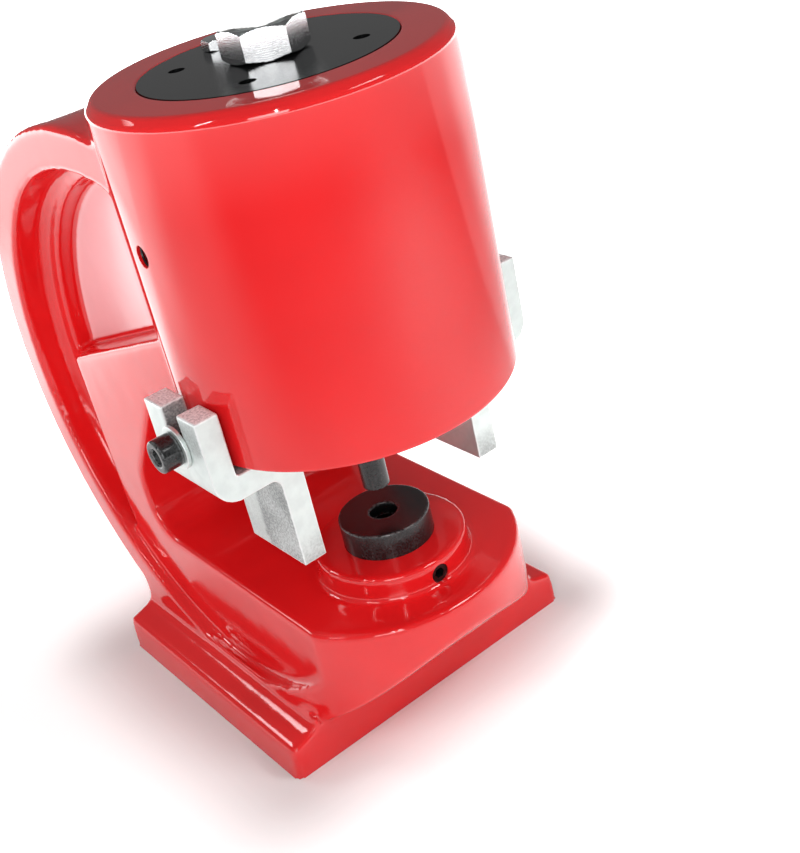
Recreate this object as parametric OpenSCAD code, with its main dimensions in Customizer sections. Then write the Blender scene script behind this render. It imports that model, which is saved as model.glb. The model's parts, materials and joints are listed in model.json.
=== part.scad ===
// Hydraulic hole punch: a cast C-frame carries a spring-return cylinder above a die.
// Millimetres, +Z up. The origin lies on the base plane, straight below the punch.
// -Y is the open front of the throat, and X runs across the frame.

/* [Cylinder] */
// Height of the cylinder's lower face above the base plane
cyl_z = 150; // [140:1:180]
// Outside diameter of the cylinder
barrel_d = 130; // [124:1:136]
// Length of the cylinder
barrel_h = 128; // [126:1:150]
// Bore that the piston runs in
bore_d = 82; // [76:0.5:86]
// Thickness of the cylinder's floor, where the ram comes out
floor_t = 34; // [30:1:38]
// Chamfer around the cylinder's lower edge
barrel_low_chamfer = 1.2; // [0.5:0.1:3]
// Chamfer around the cylinder's upper edge
barrel_top_chamfer = 3; // [1:0.5:5]

/* [End cap] */
// Diameter of the screwed end cap
cap_d = 92; // [90:1:100]
// Thickness of the end cap
cap_t = 18; // [16:1:24]
// Height of the oil space above the piston at rest
oil_gap = 2; // [1:0.5:4]
// Diameter of the cap's oil port
port_d = 16.6; // [14:0.1:20]
// Circle of the four spanner holes in the cap
spanner_pcd = 66; // [60:1:72]
// Diameter of a spanner hole
spanner_hole_d = 6; // [4:0.5:8]
// Depth of a spanner hole
spanner_hole_depth = 4; // [3:0.5:8]
// Section of the cap's round seal
cap_seal_t = 4; // [3:0.5:5]
// Height of the cap's seal above the cap's lower face
cap_seal_z = 3; // [2:0.5:6]
// Shank diameter of the bleed screw
bleed_d = 6; // [5:0.5:8]
// Shank length of the bleed screw
bleed_len = 9; // [6:0.5:12]
// Width across flats of the bleed screw's head
bleed_flats = 10; // [8:0.5:13]
// Height of the bleed screw's head
bleed_head_h = 4; // [3:0.5:6]

/* [Ram] */
// Diameter of the ram
ram_d = 45; // [38:0.5:48]
// Travel of the ram, from retracted to full stroke
stroke = 20; // [10:1:22]
// Length of ram that shows below the cylinder when retracted
ram_stickout = 8; // [2:0.5:10]
// Thickness of the piston
piston_t = 26; // [24:1:32]
// Depth of the piston's ring grooves
groove_depth = 5; // [3:0.5:6]
// Height of the pressure seal
seal_h = 6; // [4:0.5:7]
// Height of the back-up ring under the seal
backup_h = 2; // [1:0.5:3]
// Height of the wear ring
wear_h = 6; // [4:0.5:7]
// Land left above the seal and below the wear ring
piston_land = 4; // [3:0.5:5]
// Diameter of the screw that holds the piston on the ram
piston_screw_d = 16; // [12:1:20]
// Depth of that screw in the ram
piston_screw_depth = 30; // [20:1:40]
// Head diameter of that screw
piston_screw_head_d = 24; // [22:1:30]
// Head height of that screw
piston_screw_head_h = 12; // [8:1:16]
// Width across flats of that screw's hex socket
piston_screw_key = 14; // [10:1:16]
// Depth of that screw's hex socket
piston_screw_key_depth = 6; // [3:0.5:7]
// Outside diameter of the guide bush
bush_d = 54; // [52:0.5:60]
// Height of the wiper ring
wiper_h = 8; // [5:0.5:10]
// Depth of the wiper inside the cylinder's lower face
wiper_recess = 1.5; // [1:0.5:4]

/* [Springs] */
// Wire diameter of the return spring
spring_wire = 5; // [3:0.5:5]
// Turns of the return spring
spring_turns = 4; // [3:0.5:4]
// Mean diameter of the return spring
spring_mean_d = 63.5; // [60:0.5:66]
// Wire diameter of the poppet's spring
poppet_wire = 1.2; // [0.8:0.1:1.4]
// Turns of the poppet's spring
poppet_turns = 6; // [4:0.5:7]

/* [Punch and die] */
// Diameter of the punch
punch_d = 11; // [6:0.5:14]
// Height of the punch's tip above the die when retracted
daylight = 13; // [8:0.5:16]
// Diameter of the punch's head
punch_head_d = 18; // [16:0.5:22]
// Height of the punch's head
punch_head_h = 4; // [3:0.5:6]
// Width across flats of the punch nut
nut_flats = 34; // [33:0.5:40]
// Diameter of the thread on the ram's nose
nose_thread_d = 30; // [24:0.5:31]
// Length of the thread on the ram's nose
nose_thread_len = 10; // [6:0.5:14]
// Thickness of the nut's lip under the punch's head
nut_lip = 2; // [1.5:0.5:4]
// Height of the die's cutting face above its boss
die_rise = 11.5; // [6:0.5:14]
// Outside diameter of the die
die_d = 38; // [34:0.5:44]
// Depth of the die's seat in the boss
die_seat = 13.5; // [10:0.5:18]
// Gap all round between the punch and the die's hole
die_gap = 0.25; // [0.2:0.05:0.6]
// Depth of the die's cutting land
die_land = 6; // [4:0.5:10]
// Extra diameter of the relief below the land
die_relief = 3; // [2:0.5:6]
// Diameter of the die's set screw
set_screw_d = 8; // [6:1:10]
// Length of the die's set screw
set_screw_len = 12; // [8:0.5:13]
// Width across flats of the set screw's hex socket
set_screw_key = 4; // [3:0.5:4]
// Depth of the set screw's hex socket
set_screw_key_depth = 6; // [3:0.5:6.5]

/* [Frame] */
// Depth of the throat behind the punch
throat_depth = 110; // [100:1:116]
// Height of the throat, from the jaw to the cylinder
throat_h = 83.5; // [80:0.5:88]
// Radius of the throat's lower corner
throat_low_r = 16; // [8:1:24]
// Height of the straight wall at the back of the throat
throat_wall = 2.5; // [1:0.5:8]
// Radius of the throat's upper corner
throat_top_r = 30; // [20:1:36]
// Slope of the throat's roof, from that corner up to the cylinder
roof_angle = 52; // [46:1:60]
// Distance of the arched back's centre behind the punch
arc_y = 55; // [52:1:60]
// Height of the arched back's centre above the base plane
arc_z = 135; // [134:1:138]
// Outer radius of the arched back
arc_r = 132; // [130:1:134]
// Thickness of the outer rim
rim_t = 17.5; // [12:0.5:22]
// Width of the outer rim
rim_w = 120; // [114:1:126]
// Fillet between the outer rim and the channel inside it
rim_fillet = 6; // [3:0.5:6]
// Width of the ledge between the outer rim and the upper pocket
pocket_ledge = 8; // [6.5:0.5:12]
// Width across the two cheeks beside the throat
cheek_w = 108; // [100:1:112]
// Width of the casting in the channel behind the cheeks
channel_w = 88; // [82:1:96]
// Width of the web in the upper pocket
web_w = 70; // [60:1:78]
// Depth of the cheeks behind the throat
cheek_t = 30; // [24:1:36]
// Radius of the cheeks' lower back corner
cheek_corner_r = 68; // [60:1:72]
// Height of the centre of that corner above the base plane
cheek_corner_z = 75; // [72:1:80]
// Height of the cheeks' sloping top edge above the cylinder's lower face, at the throat
ledge_rise = 9.5; // [4:0.5:16]
// Slope of that top edge
ledge_angle = 19; // [10:1:28]
// Height of the straight pedestal between the foot and the arched back
pedestal_h = 50; // [40:1:60]
// Distance of the upper arm's front end behind the punch, inside the cylinder's seat
arm_front = 16; // [10:1:24]
// Radius of the jaw's nose, seen from above
nose_r = 60; // [56:1:66]
// Distance of the nose's centre behind the punch
nose_y = 12; // [8:1:16]
// Radius of the boss around the die
boss_r = 32; // [28:1:36]
// Height of the boss above the jaw
boss_h = 11.5; // [8:0.5:14]
// Diameter of the slug hole under the die
slug_d = 24; // [20:1:28]
// Height of the slug chute's floor above the base plane
chute_z = 22; // [20:1:26]
// Height of the slug chute
chute_h = 20; // [16:1:24]
// Width of the slug chute
chute_w = 26; // [24:1:32]

/* [Foot] */
// Width of the foot
foot_w = 150; // [140:1:170]
// Thickness of the foot at its outer edge
foot_t = 15; // [10:0.5:18]
// Draft of the foot's sides
foot_draft = 1.5; // [0:0.5:3]
// Slope of the foot's top, down to its sides
foot_slope = 15; // [5:1:25]
// Reach of the foot in front of the punch
foot_front = 8; // [4:1:20]
// Reach of the foot behind the punch
foot_back = 136.5; // [132:0.5:144]
// Corner radius of the foot
foot_r = 3; // [2:0.5:12]
// Fillet between the foot and the frame's sides
foot_fillet = 6; // [3:0.5:8]

/* [Clamps] */
// Thickness of a clamp's bent bar
clamp_t = 10; // [8:0.5:12]
// Width of a clamp
clamp_w = 37; // [30:1:42]
// Height of the fork's top above the cylinder's lower face
fork_rise = 24.8; // [22:0.2:30]
// Gap between the cylinder's lower face and the clamp's shelf
shelf_gap = 1.2; // [1.1:0.1:3]
// Distance of the leg's inner face from the punch
leg_x = 39.5; // [36:0.5:44]
// Length of the leg, measured down from the cylinder's lower face
leg_drop = 50.8; // [44:0.2:52]
// Outer bend radius of the clamp
bend_r = 10; // [4:0.5:10]
// Fillet between the shelf and the leg
leg_fillet = 4; // [1:0.5:6]
// Width of the fork's slot
slot_w = 11; // [9:0.5:13]
// Height of the clamp screws above the cylinder's lower face
screw_rise = 10.4; // [10:0.2:14]
// Depth of the slot's round end below the screw
slot_below = 2; // [1:0.2:4]
// Thread diameter of a clamp screw
screw_d = 8; // [6:0.5:8]
// Reach of a clamp screw into the cylinder
screw_reach = 14; // [10:1:18]
// Head diameter of a clamp screw
screw_head_d = 13; // [10:0.5:15]
// Head height of a clamp screw
screw_head_h = 8; // [5:0.5:10]
// Width across flats of the screw's hex socket
screw_key = 6; // [4:0.5:7]
// Depth of the screw's hex socket
screw_key_depth = 4; // [2:0.5:4.5]
// Outside diameter of a clamp washer
washer_d = 17; // [15:0.5:20]
// Thickness of a clamp washer
washer_t = 1.6; // [1:0.2:2.5]
// Height of the handle holes above the cylinder's lower face
handle_hole_rise = 79; // [70:1:86]
// Angle of the handle holes behind the cylinder's sides
handle_hole_angle = 3; // [0:1:20]
// Core diameter of a handle hole
handle_hole_d = 6.8; // [5:0.1:8.5]
// Depth of a handle hole
handle_hole_depth = 14; // [10:1:18]

/* [Hose coupler] */
// Width across flats of the port adapter
adapter_flats = 27; // [22:0.5:30]
// Height of the port adapter's hexagon
adapter_hex_h = 12; // [8:0.5:16]
// Thread length at each end of the adapter
adapter_thread_len = 12; // [8:0.5:14]
// Oil bore of the adapter
adapter_bore_d = 8; // [5:0.5:8]
// Width across flats of the coupler's body
coupler_flats = 32; // [28:0.5:36]
// Height of the coupler body's hexagon
coupler_hex_h = 14; // [13:0.5:18]
// Diameter of the coupler's nipple
nipple_d = 24; // [22:0.5:28]
// Length of the nipple between the hexagon and the ball groove
nipple_neck = 14; // [8:0.5:18]
// Width of the ball groove
ball_groove_w = 5; // [3:0.5:7]
// Depth of the ball groove
ball_groove_depth = 1.5; // [1:0.25:2.5]
// Length of the nipple's parallel front end
nipple_land = 8; // [6:0.5:12]
// Length of the nipple's tapered tip
nipple_taper = 7; // [4:0.5:9]
// Diameter of the nipple's face
nipple_face_d = 19; // [16:0.5:21]
// Bore that the poppet slides in
poppet_bore_d = 12; // [10.5:0.5:13]
// Diameter of the poppet's nose
poppet_d = 9; // [7:0.5:9.5]
// Height of the poppet's guide
poppet_guide_h = 8; // [5:0.5:10]
// Thickness of the wall that the poppet closes against
poppet_seat_t = 8; // [5:0.5:9]
// Height of the poppet's nose above the nipple's face
poppet_stickout = 2; // [1:0.5:4]

/* [Clearances] */
// Radial gap of parts that are pressed or screwed together
seat_gap = 0.02; // [0:0.01:0.05]
// Radial gap of parts that slide in a bore
run_gap = 0.05; // [0.02:0.01:0.1]
// Gap beside a clamp that slides along a face
slide_gap = 0.3; // [0.1:0.05:0.5]
// Extra radius of a hole around a screw that passes through
through_gap = 0.4; // [0.2:0.1:1]

/* [Hidden] */
$fn = 64;
cut = 1;                                       // how far a cut runs past the face it opens
far = 400;                                     // longer than anything that it trims
barrel_r = barrel_d / 2;
jaw_z = cyl_z - throat_h;
floor_top_z = cyl_z + floor_t;
barrel_top_z = cyl_z + barrel_h;
cap_z = barrel_top_z - cap_t;
piston_z = cap_z - oil_gap - piston_t;
piston_r = bore_d / 2 - run_gap;
groove_r = piston_r - groove_depth;
wear_z = piston_z + piston_land;
seal_z = piston_z + piston_t - piston_land - seal_h;
backup_z = seal_z - backup_h;
ram_r = ram_d / 2;
ram_low_z = cyl_z - ram_stickout;
nose_z = ram_low_z - nose_thread_len;
nut_z = nose_z - punch_head_h - nut_lip;
boss_top_z = jaw_z + boss_h;
die_z = boss_top_z - die_seat;
die_h = die_seat + die_rise;
tip_z = die_z + die_h + daylight;
set_screw_z = boss_top_z - die_seat / 2;
cheek_back = throat_depth + cheek_t;
fork_x = barrel_r + slide_gap;
fork_out_x = fork_x + clamp_t;
shelf_z = cyl_z - shelf_gap;
screw_z = cyl_z + screw_rise;
washer_x = fork_out_x + run_gap;
head_x = washer_x + washer_t;
adapter_top_z = barrel_top_z + adapter_hex_h + adapter_thread_len;
coupler_z = barrel_top_z + adapter_hex_h;
neck_z = coupler_z + coupler_hex_h;
groove_z = neck_z + nipple_neck;
land_z = groove_z + ball_groove_w;
taper_z = land_z + nipple_land;
coupler_top_z = taper_z + nipple_taper;
poppet_seat_z = coupler_top_z - poppet_seat_t;
poppet_z = poppet_seat_z - poppet_guide_h - run_gap;
spring_rings = 8;                              // rings of a coil's tube in each turn
spring_sides = 6;                              // sides of a coil's tube
hex_chamfer_angle = 30;                        // slope of the chamfer on a hexagon's corners
hex_face_share = 0.95;                         // width of a hexagon's flat face, over its flats

paint_red = "#d8231f";
zinc = "#c9d0cf";
black_oxide = "#26292b";
bright_steel = "#b9bdc1";
bronze = "#b08d57";
seal_black = "#1c1c1c";

// Extrude a side view, drawn as Y and Z, evenly to both sides of the middle plane
module along_x(width) {
  rotate([90, 0, 90]) linear_extrude(height = width, center = true) children();
}

// A rod along X, from x = start outward
module x_rod(d, start, length, z) {
  translate([start, 0, z]) rotate([0, 90, 0]) cylinder(d = d, h = length);
}

// A plain ring between two diameters
module ring(outer_d, inner_d, z, h) {
  translate([0, 0, z]) difference() {
    cylinder(d = outer_d, h = h);
    translate([0, 0, -cut]) cylinder(d = inner_d, h = h + 2 * cut);
  }
}

// A hexagonal bar, given across its flats
module hexagon(flats, h) {
  cylinder(d = flats / cos(30), h = h, $fn = 6);
}

// A hexagonal nut or head, with its corners turned off at both ends
module turned_hexagon(flats, h) {
  face_r = hex_face_share * flats / 2;
  outer_r = flats / 2 / cos(30) + cut;
  drop = (outer_r - face_r) * tan(hex_chamfer_angle);
  intersection() {
    hexagon(flats, h);
    rotate_extrude() polygon([[0, 0], [face_r, 0], [outer_r, drop], [outer_r, h - drop],
      [face_r, h], [0, h]]);
  }
}

// The same child on the left and on the right
module both_sides() {
  for (side = [0, 1]) mirror([side, 0, 0]) children();
}

// A coil spring as one swept tube, and the least gap between its own turns
function coil_point(mean_d, wire, low_z, high_z, turns, i) =
  let (share = i / (turns * spring_rings), angle = 360 * turns * share)
  [mean_d / 2 * cos(angle), mean_d / 2 * sin(angle),
   low_z + wire / 2 + (high_z - low_z - wire) * share];
function coil_path(mean_d, wire, low_z, high_z, turns) =
  [for (i = [0 : turns * spring_rings]) coil_point(mean_d, wire, low_z, high_z, turns, i)];
function coil_least_gap(path, wire) =
  min([for (i = [0 : len(path) - 1], j = [i + spring_rings - 2 : 1 : len(path) - 1])
    norm(path[i] - path[j])]) - wire;

module coil_spring(path, wire) {
  rings = len(path);
  points = [for (p = path, s = [0 : spring_sides - 1])
    let (out = [p.x, p.y, 0] / norm([p.x, p.y]), around = 360 * (s + 0.5) / spring_sides)
    p + wire / 2 * (cos(around) * out + sin(around) * [0, 0, 1])];
  sides = [for (r = [0 : rings - 2], s = [0 : spring_sides - 1])
    let (a = r * spring_sides + s, b = r * spring_sides + (s + 1) % spring_sides)
    each [[a, a + spring_sides, b], [b, a + spring_sides, b + spring_sides]]];
  first = [for (s = [1 : spring_sides - 2]) [0, s, s + 1]];
  last_ring = (rings - 1) * spring_sides;
  last = [for (s = [1 : spring_sides - 2]) [last_ring, last_ring + s + 1, last_ring + s]];
  polyhedron(points = points, faces = concat(sides, first, last));
}

// The open throat, seen from the side: rounded back corners and a roof that slopes up to the front
module throat() {
  low_y = throat_depth - throat_low_r;
  low_z = jaw_z + throat_low_r;
  top_y = throat_depth - throat_top_r;
  top_z = low_z + throat_wall;
  touch_y = top_y + throat_top_r * sin(roof_angle);
  touch_z = top_z + throat_top_r * cos(roof_angle);
  roof_y = touch_y - (cyl_z - touch_z) / tan(roof_angle);
  polygon([[-far, jaw_z], [low_y, jaw_z], [low_y, low_z], [throat_depth, low_z],
    [throat_depth, top_z], [top_y, top_z], [touch_y, touch_z], [roof_y, cyl_z], [-far, cyl_z]]);
  translate([low_y, low_z]) circle(r = throat_low_r);
  intersection() {
    translate([top_y, top_z]) circle(r = throat_top_r);
    translate([0, top_z - throat_wall]) square([throat_depth + cut, throat_top_r + throat_wall + cut]);
  }
}

// Side view of the whole casting: an arched back on a pedestal, less the throat
module frame_outline() {
  difference() {
    union() {
      translate([arc_y, arc_z]) circle(r = arc_r);
      translate([-foot_front, 0]) square([foot_front + foot_back, pedestal_h]);
    }
    throat();
    translate([-far, cyl_z - cut]) square([far + arm_front, far]);
  }
}

// Everything below the sloping edge where the cheeks end
module below_ledge() {
  rise = tan(ledge_angle);
  edge_z = cyl_z + ledge_rise;
  polygon([[-far, -far], [far, -far], [far, edge_z + (throat_depth - far) * rise],
    [-far, edge_z + (throat_depth + far) * rise]]);
}

// Side view of the upper pocket, inside its round edge and above the cheeks
module pocket() {
  difference() {
    translate([arc_y, arc_z]) circle(r = arc_r - rim_t - pocket_ledge);
    below_ledge();
  }
}

// The fillet in the corner between the outer rim and the channel, on both sides
module rim_corner() {
  wall_r = arc_r - rim_t;
  floor_x = channel_w / 2;
  both_sides() translate([0, arc_y, arc_z]) rotate([0, 90, 0]) rotate_extrude() difference() {
    translate([wall_r - rim_fillet, floor_x - cut]) square([rim_fillet + cut, rim_fillet + cut]);
    translate([wall_r - rim_fillet, floor_x + rim_fillet]) circle(r = rim_fillet);
  }
}

// Side view of the cheeks, with their round lower back corner
module cheek_region() {
  corner_y = cheek_back - cheek_corner_r;
  translate([-far, cheek_corner_z]) square([far + cheek_back, far]);
  translate([-far, -cut]) square([far + corner_y, far]);
  translate([corner_y, cheek_corner_z]) circle(r = cheek_corner_r);
}

// View from above that rounds the jaw's nose
module nose_plan() {
  translate([-far, nose_y]) square([2 * far, far]);
  translate([0, nose_y]) circle(r = nose_r);
}

// The foot from above
module foot_plan() {
  length = foot_front + foot_back;
  translate([-foot_w / 2 + foot_r, -foot_front]) square([foot_w - 2 * foot_r, length]);
  translate([-foot_w / 2, foot_r - foot_front]) square([foot_w, length - 2 * foot_r]);
  for (x = [-1, 1], y = [foot_r - foot_front, foot_back - foot_r])
    translate([x * (foot_w / 2 - foot_r), y]) circle(r = foot_r);
}

// Right half of the foot in front view: drafted side, sloping top and a fillet up to the frame
module foot_profile() {
  side_x = rim_w / 2;
  edge_x = foot_w / 2 - foot_draft;
  inner_z = foot_t + (edge_x - side_x) * tan(foot_slope);
  round_x = side_x + foot_fillet;
  round_z = inner_z - foot_fillet * tan(foot_slope) + foot_fillet / cos(foot_slope);
  touch_x = round_x - foot_fillet * sin(foot_slope);
  touch_z = round_z - foot_fillet * cos(foot_slope);
  polygon([[-cut, 0], [foot_w / 2, 0], [edge_x, foot_t], [side_x, inner_z], [-cut, inner_z]]);
  difference() {
    polygon([[side_x - cut, inner_z - cut], [side_x, inner_z - cut], [touch_x, touch_z],
      [round_x, round_z], [side_x - cut, round_z]]);
    translate([round_x, round_z]) circle(r = foot_fillet);
  }
}

// Foot plate with sloping ears on both sides of the frame
module foot() {
  intersection() {
    linear_extrude(height = far) foot_plan();
    both_sides() rotate([90, 0, 0]) linear_extrude(height = far, center = true) foot_profile();
  }
}

// C-frame casting: rim, web, channel and cheeks, the die boss and the foot
module c_frame() {
  color(paint_red) difference() {
    union() {
      intersection() {
        union() {
          along_x(rim_w) difference() {
            frame_outline();
            translate([arc_y, arc_z]) circle(r = arc_r - rim_t);
          }
          along_x(web_w) frame_outline();
          along_x(channel_w) difference() {
            frame_outline();
            pocket();
          }
          intersection() {
            along_x(rim_w) frame_outline();
            rim_corner();
          }
          along_x(cheek_w) intersection() {
            frame_outline();
            below_ledge();
            cheek_region();
          }
        }
        linear_extrude(height = far) nose_plan();
      }
      foot();
      translate([0, 0, jaw_z - cut]) cylinder(r = boss_r, h = boss_h + cut);
    }
    translate([0, 0, cyl_z - seat_gap]) cylinder(r = barrel_r + seat_gap, h = far);
    translate([0, 0, die_z]) cylinder(d = die_d + 2 * seat_gap, h = far - die_z);
    translate([0, 0, chute_z]) cylinder(d = slug_d, h = far - chute_z);
    translate([-chute_w / 2, -far, chute_z]) cube([chute_w, far + chute_w / 2, chute_h]);
    translate([0, 0, set_screw_z]) rotate([90, 0, 0])
      cylinder(d = set_screw_d + 2 * seat_gap, h = boss_r + cut);
  }
}

// Cylinder: piston bore, screwed top, floor with the ram's guide, and tapped side holes
module cylinder_barrel() {
  bush_hole_d = bush_d + 2 * seat_gap;
  lip_d = ram_d + 2 * through_gap;
  color(paint_red) difference() {
    translate([0, 0, cyl_z]) rotate_extrude() polygon([[0, 0], [barrel_r - barrel_low_chamfer, 0],
      [barrel_r, barrel_low_chamfer], [barrel_r, barrel_h - barrel_top_chamfer],
      [barrel_r - barrel_top_chamfer, barrel_h], [0, barrel_h]]);
    translate([0, 0, floor_top_z]) cylinder(d = bore_d, h = barrel_h);
    translate([0, 0, cap_z]) cylinder(d = cap_d + 2 * seat_gap, h = barrel_h);
    translate([0, 0, cyl_z + wiper_recess]) cylinder(d = bush_hole_d, h = barrel_h);
    translate([0, 0, cyl_z - cut]) cylinder(d = lip_d, h = barrel_h);
    both_sides() {
      x_rod(screw_d + 2 * seat_gap, barrel_r - screw_reach, screw_reach + cut, screw_z);
      rotate(handle_hole_angle) x_rod(handle_hole_d, barrel_r - handle_hole_depth,
        handle_hole_depth + cut, cyl_z + handle_hole_rise);
    }
  }
}

// Screwed end cap with the oil port, spanner holes, seal groove and bleed hole
module end_cap() {
  seal_inner_d = cap_d - 2 * cap_seal_t;
  color(black_oxide) difference() {
    translate([0, 0, cap_z]) cylinder(d = cap_d, h = cap_t);
    translate([0, 0, cap_z - cut]) cylinder(d = port_d + 2 * seat_gap, h = cap_t + 2 * cut);
    for (angle = [45 : 90 : 315]) rotate(angle) translate([spanner_pcd / 2, 0, 0])
      translate([0, 0, barrel_top_z - spanner_hole_depth])
        cylinder(d = spanner_hole_d, h = spanner_hole_depth + cut);
    ring(cap_d + 2 * cut, seal_inner_d, cap_z + cap_seal_z, cap_seal_t);
    translate([0, spanner_pcd / 2, barrel_top_z - bleed_len])
      cylinder(d = bleed_d + 2 * seat_gap, h = bleed_len + cut);
  }
}

// Round seal of the end cap, in its groove
module end_cap_seal() {
  color(seal_black)
    ring(cap_d, cap_d - 2 * cap_seal_t + 2 * seat_gap, cap_z + cap_seal_z, cap_seal_t);
}

// Bleed screw in the end cap
module bleed_screw() {
  color(bright_steel) translate([0, spanner_pcd / 2, barrel_top_z]) {
    translate([0, 0, -bleed_len]) cylinder(d = bleed_d, h = bleed_len + cut);
    turned_hexagon(bleed_flats, bleed_head_h);
  }
}

// Bronze bush that guides the ram in the cylinder's floor
module guide_bush() {
  bush_z = cyl_z + wiper_recess + wiper_h;
  color(bronze) ring(bush_d, ram_d + 2 * run_gap, bush_z, floor_top_z - bush_z);
}

// Wiper ring below the bush
module rod_wiper() {
  color(seal_black) ring(bush_d, ram_d + 2 * run_gap, cyl_z + wiper_recess, wiper_h);
}

// Ram, with the threaded nose for the punch nut and the piston screw's hole
module ram() {
  color(bright_steel) difference() {
    union() {
      translate([0, 0, ram_low_z]) cylinder(d = ram_d, h = piston_z - ram_low_z);
      translate([0, 0, nose_z]) cylinder(d = nose_thread_d, h = nose_thread_len + cut);
    }
    translate([0, 0, piston_z - piston_screw_depth])
      cylinder(d = piston_screw_d + 2 * seat_gap, h = piston_screw_depth + cut);
  }
}

// Piston, with grooves for its rings and a sunk screw head
module piston() {
  groove_d = 2 * groove_r;
  outside_d = bore_d + 2 * cut;
  head_z = piston_z + piston_t - piston_screw_head_h;
  color(bright_steel) difference() {
    translate([0, 0, piston_z]) cylinder(r = piston_r, h = piston_t);
    translate([0, 0, piston_z - cut]) cylinder(d = piston_screw_d + 2 * seat_gap, h = piston_t);
    translate([0, 0, head_z])
      cylinder(d = piston_screw_head_d + 2 * seat_gap, h = piston_screw_head_h + cut);
    ring(outside_d, groove_d, wear_z, wear_h);
    ring(outside_d, groove_d, backup_z, backup_h + seal_h);
  }
}

// Socket screw that holds the piston on the ram
module piston_screw() {
  top_z = piston_z + piston_t;
  head_z = top_z - piston_screw_head_h;
  color(black_oxide) difference() {
    union() {
      translate([0, 0, head_z]) cylinder(d = piston_screw_head_d, h = piston_screw_head_h);
      translate([0, 0, piston_z - piston_screw_depth])
        cylinder(d = piston_screw_d, h = head_z - piston_z + piston_screw_depth + cut);
    }
    translate([0, 0, top_z - piston_screw_key_depth])
      hexagon(piston_screw_key, piston_screw_key_depth + cut);
  }
}

// Pressure seal, back-up ring and wear ring of the piston
module piston_seal() {
  color(seal_black) ring(2 * piston_r, 2 * (groove_r + seat_gap), seal_z, seal_h);
}

module backup_ring() {
  color("#e9e3d2") ring(2 * piston_r, 2 * (groove_r + seat_gap), backup_z, backup_h);
}

module wear_ring() {
  color("#6b3d2a") ring(2 * piston_r, 2 * (groove_r + seat_gap), wear_z, wear_h);
}

// Coil spring that lifts the piston again
module return_spring() {
  path = coil_path(spring_mean_d, spring_wire, floor_top_z, piston_z, spring_turns);
  echo("return_spring least gap between turns", coil_least_gap(path, spring_wire));
  color(bright_steel) coil_spring(path, spring_wire);
}

// Nut that holds the punch's head against the ram's nose
module punch_nut() {
  color(black_oxide) difference() {
    translate([0, 0, nut_z]) turned_hexagon(nut_flats, ram_low_z - nut_z);
    translate([0, 0, nose_z]) cylinder(d = nose_thread_d + 2 * seat_gap, h = nose_thread_len + cut);
    translate([0, 0, nut_z + nut_lip])
      cylinder(d = punch_head_d + 2 * seat_gap, h = punch_head_h + cut);
    translate([0, 0, nut_z - cut]) cylinder(d = punch_d + 2 * seat_gap, h = nut_lip + 2 * cut);
  }
}

// Punch with its head
module punch() {
  color(black_oxide) {
    translate([0, 0, tip_z]) cylinder(d = punch_d, h = nose_z - tip_z);
    translate([0, 0, nose_z - punch_head_h]) cylinder(d = punch_head_d, h = punch_head_h);
  }
}

// Die with its cutting land and the relief below it
module die() {
  hole_d = punch_d + 2 * die_gap;
  color(black_oxide) difference() {
    translate([0, 0, die_z]) cylinder(d = die_d, h = die_h);
    translate([0, 0, die_z - cut]) cylinder(d = hole_d, h = die_h + 2 * cut);
    translate([0, 0, die_z - cut]) cylinder(d = hole_d + die_relief, h = die_h - die_land + cut);
  }
}

// Set screw that holds the die in the boss
module die_set_screw() {
  color(black_oxide) translate([0, -die_d / 2 - seat_gap, set_screw_z]) rotate([90, 0, 0])
    difference() {
      cylinder(d = set_screw_d, h = set_screw_len);
      translate([0, 0, set_screw_len - set_screw_key_depth])
        hexagon(set_screw_key, set_screw_key_depth + cut);
    }
}

// Bent bar of a clamp in front view: fork, shelf and leg, with its bends
module clamp_profile() {
  low_z = shelf_z - clamp_t;
  foot_z = cyl_z - leg_drop;
  leg_out_x = leg_x + clamp_t;
  translate([fork_x, low_z + bend_r]) square([clamp_t, cyl_z + fork_rise - low_z - bend_r]);
  translate([leg_x, low_z]) square([fork_out_x - bend_r - leg_x, clamp_t]);
  intersection() {
    translate([fork_out_x - bend_r, low_z + bend_r]) circle(r = bend_r);
    translate([fork_out_x - bend_r, low_z]) square(bend_r);
  }
  translate([fork_out_x - bend_r, low_z + bend_r])
    square([bend_r, clamp_t]);
  translate([leg_x, foot_z]) square([clamp_t, low_z - foot_z + clamp_t / 2]);
  difference() {
    translate([leg_out_x - cut, low_z - leg_fillet]) square(leg_fillet + cut);
    translate([leg_out_x + leg_fillet, low_z - leg_fillet]) circle(r = leg_fillet);
  }
}

// One clamp, on the +X side: the bent bar with the open slot for its screw
module clamp_bar() {
  slot_z = screw_z - slot_below;
  difference() {
    rotate([90, 0, 0]) linear_extrude(height = clamp_w, center = true) clamp_profile();
    x_rod(slot_w, fork_x - cut, clamp_t + 2 * cut, slot_z);
    translate([fork_x - cut, -slot_w / 2, slot_z]) cube([clamp_t + 2 * cut, slot_w, far]);
  }
}

module left_clamp() {
  color(zinc) mirror([1, 0, 0]) clamp_bar();
}

module right_clamp() {
  color(zinc) clamp_bar();
}

// Socket screws that hold the clamps, one on each side
module clamp_screws() {
  start = barrel_r - screw_reach;
  color(black_oxide) both_sides() difference() {
    union() {
      x_rod(screw_d, start, head_x - start + cut, screw_z);
      x_rod(screw_head_d, head_x, screw_head_h, screw_z);
    }
    translate([head_x + screw_head_h - screw_key_depth, 0, screw_z]) rotate([0, 90, 0])
      hexagon(screw_key, screw_key_depth + cut);
  }
}

// Washers under the screw heads
module clamp_washers() {
  color(zinc) both_sides() difference() {
    x_rod(washer_d, washer_x, washer_t, screw_z);
    x_rod(screw_d + 2 * through_gap, washer_x - cut, washer_t + 2 * cut, screw_z);
  }
}

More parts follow.
